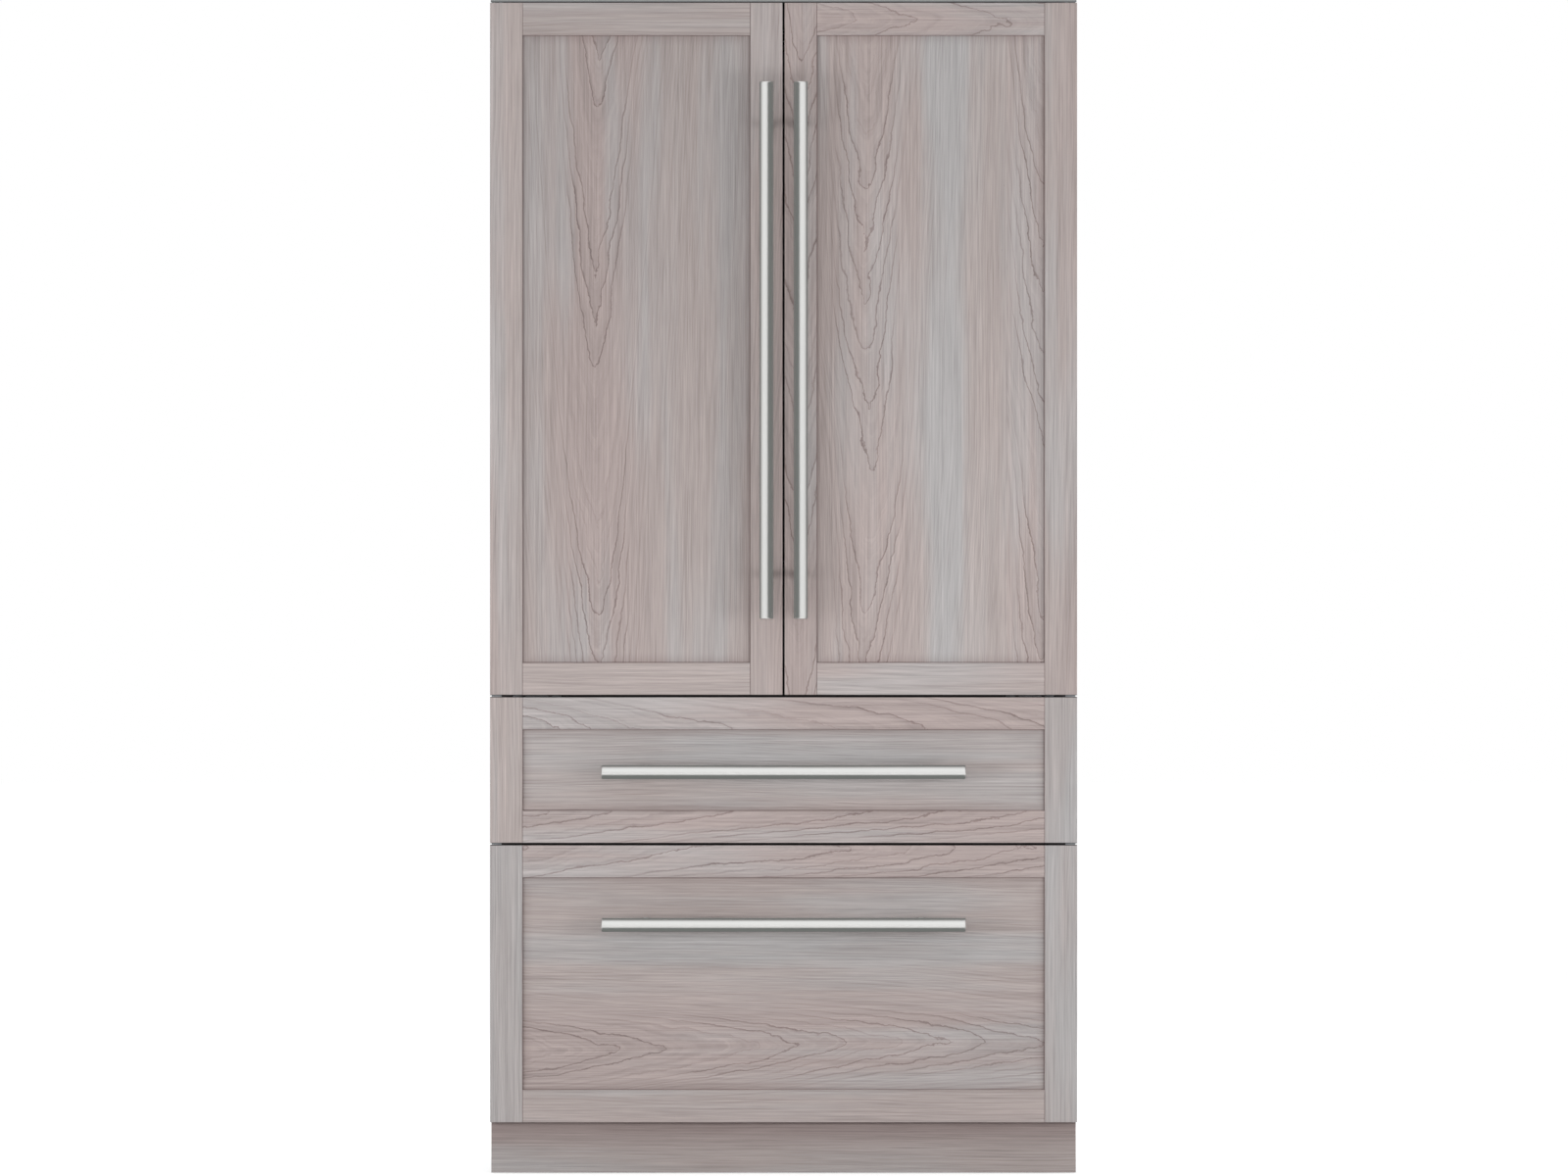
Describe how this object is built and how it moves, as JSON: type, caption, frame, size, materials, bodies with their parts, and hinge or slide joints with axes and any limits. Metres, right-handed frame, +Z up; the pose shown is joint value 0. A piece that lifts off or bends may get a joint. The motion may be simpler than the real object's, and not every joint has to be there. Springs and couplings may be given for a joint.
{
  "type": "built-in refrigerator",
  "caption": "Panel-ready built-in refrigerator with wood-fronted doors over freezer drawers, tubular bar handles and a toe kick.",
  "frame": {"origin": "on the floor, under the middle of the whole unit's box", "axes": "+Z up, -Y out of the front, +X to the right when facing it"},
  "size_m": [1.0668, 0.701, 2.1336],
  "materials": {
    "front_wood": "matte",
    "bar_steel": "satin",
    "pan_steel": "satin",
    "case_steel": "satin",
    "dark_steel": "satin",
    "stainless": "satin",
    "zinc_steel": "satin",
    "pin_steel": "polished",
    "white_liner": "gloss",
    "foam": "matte",
    "door_foam": "satin",
    "gasket_rubber": "matte",
    "clear_plastic": "gloss",
    "white_plastic": "satin",
    "tub_plastic": "satin",
    "dark_plastic": "matte",
    "shelf_glass": "gloss",
    "lens_plastic": "gloss",
    "fin_aluminium": "satin",
    "black_enamel": "gloss",
    "foot_steel": "satin",
    "roller_plastic": "matte"
  },
  "bodies": {
    "case": {"air_ducts": "white_plastic", "base_frame": "zinc_steel", "ceiling_light": "lens_plastic", "compressor": "black_enamel", "condenser": "black_enamel", "control_panel": "white_plastic", "crisper_drawers": "clear_plastic", "evaporator": "fin_aluminium", "fan_shroud": "dark_plastic", "front_frame": "dark_steel", "glass_shelves": "shelf_glass", "hinge_brackets": "zinc_steel", "hinge_pins": "pin_steel", "inner_liners": "white_liner", "insulation": "foam", "levelling_feet": "foot_steel", "mullion_guide": "dark_plastic", "power_inlet": "dark_plastic", "rear_panel": "zinc_steel", "shelf_supports": "stainless", "side_panels": "case_steel", "slide_rails": "zinc_steel", "toe_kick": "front_wood", "top_panel": "case_steel"},
    "left_door": {"left_door_bins": "clear_plastic", "left_door_frame": "front_wood", "left_door_gasket": "gasket_rubber", "left_door_handle": "bar_steel", "left_door_liner": "door_foam", "left_door_pan": "pan_steel", "left_door_panel": "front_wood"},
    "right_door": {"right_door_bins": "clear_plastic", "right_door_frame": "front_wood", "right_door_gasket": "gasket_rubber", "right_door_handle": "bar_steel", "right_door_liner": "door_foam", "right_door_pan": "pan_steel", "right_door_panel": "front_wood"},
    "upper_drawer": {"upper_drawer_frame": "front_wood", "upper_drawer_gasket": "gasket_rubber", "upper_drawer_handle": "bar_steel", "upper_drawer_liner": "door_foam", "upper_drawer_pan": "pan_steel", "upper_drawer_panel": "front_wood", "upper_drawer_runners": "zinc_steel", "upper_drawer_tub": "tub_plastic"},
    "lower_drawer": {"lower_drawer_frame": "front_wood", "lower_drawer_gasket": "gasket_rubber", "lower_drawer_handle": "bar_steel", "lower_drawer_liner": "door_foam", "lower_drawer_pan": "pan_steel", "lower_drawer_panel": "front_wood", "lower_drawer_runners": "zinc_steel", "lower_drawer_tub": "tub_plastic"},
    "mullion_flap": {"mullion_flap": "dark_steel"},
    "upper_slide_middles": {"upper_slide_middles": "zinc_steel"},
    "lower_slide_middles": {"lower_slide_middles": "zinc_steel"},
    "condenser_fan": {"condenser_fan": "dark_plastic"},
    "evaporator_fan": {"evaporator_fan": "dark_plastic"},
    "rear_rollers": {"rear_rollers": "roller_plastic"}
  },
  "joints": [
    {"name": "left_door_hinge", "type": "hinge", "parent": "case", "child": "left_door", "pos_m": [-0.5074, -0.247, 0], "axis": [0, 0, -1], "range_deg": [0, 110]},
    {"name": "right_door_hinge", "type": "hinge", "parent": "case", "child": "right_door", "pos_m": [0.5074, -0.247, 0], "axis": [0, 0, 1], "range_deg": [0, 110]},
    {"name": "mullion_flap_hinge", "type": "hinge", "parent": "left_door", "child": "mullion_flap", "pos_m": [-0.0265, -0.188, 0], "axis": [0, 0, -1], "range_deg": [0, 90]},
    {"name": "upper_drawer_slide", "type": "slide", "parent": "case", "child": "upper_drawer", "axis": [0, -1, 0], "range_m": [0, 0.34]},
    {"name": "upper_slide_middles_slide", "type": "slide", "parent": "case", "child": "upper_slide_middles", "axis": [0, -1, 0], "range_m": [0, 0.17]},
    {"name": "lower_drawer_slide", "type": "slide", "parent": "case", "child": "lower_drawer", "axis": [0, -1, 0], "range_m": [0, 0.34]},
    {"name": "lower_slide_middles_slide", "type": "slide", "parent": "case", "child": "lower_slide_middles", "axis": [0, -1, 0], "range_m": [0, 0.17]},
    {"name": "condenser_fan_spin", "type": "hinge", "parent": "case", "child": "condenser_fan", "pos_m": [-0.0046, 0.238, 0.128], "axis": [1, 0, 0], "continuous": true},
    {"name": "evaporator_fan_spin", "type": "hinge", "parent": "case", "child": "evaporator_fan", "pos_m": [0, 0.2185, 0.49], "axis": [0, 1, 0], "continuous": true},
    {"name": "rear_rollers_spin", "type": "hinge", "parent": "case", "child": "rear_rollers", "pos_m": [0, 0.2755, 0.0285], "axis": [1, 0, 0], "continuous": true}
  ],
  "couplings": [
    {"joint": "upper_slide_middles_slide", "follows": "upper_drawer_slide", "ratio": 0.5},
    {"joint": "lower_slide_middles_slide", "follows": "lower_drawer_slide", "ratio": 0.5}
  ]
}
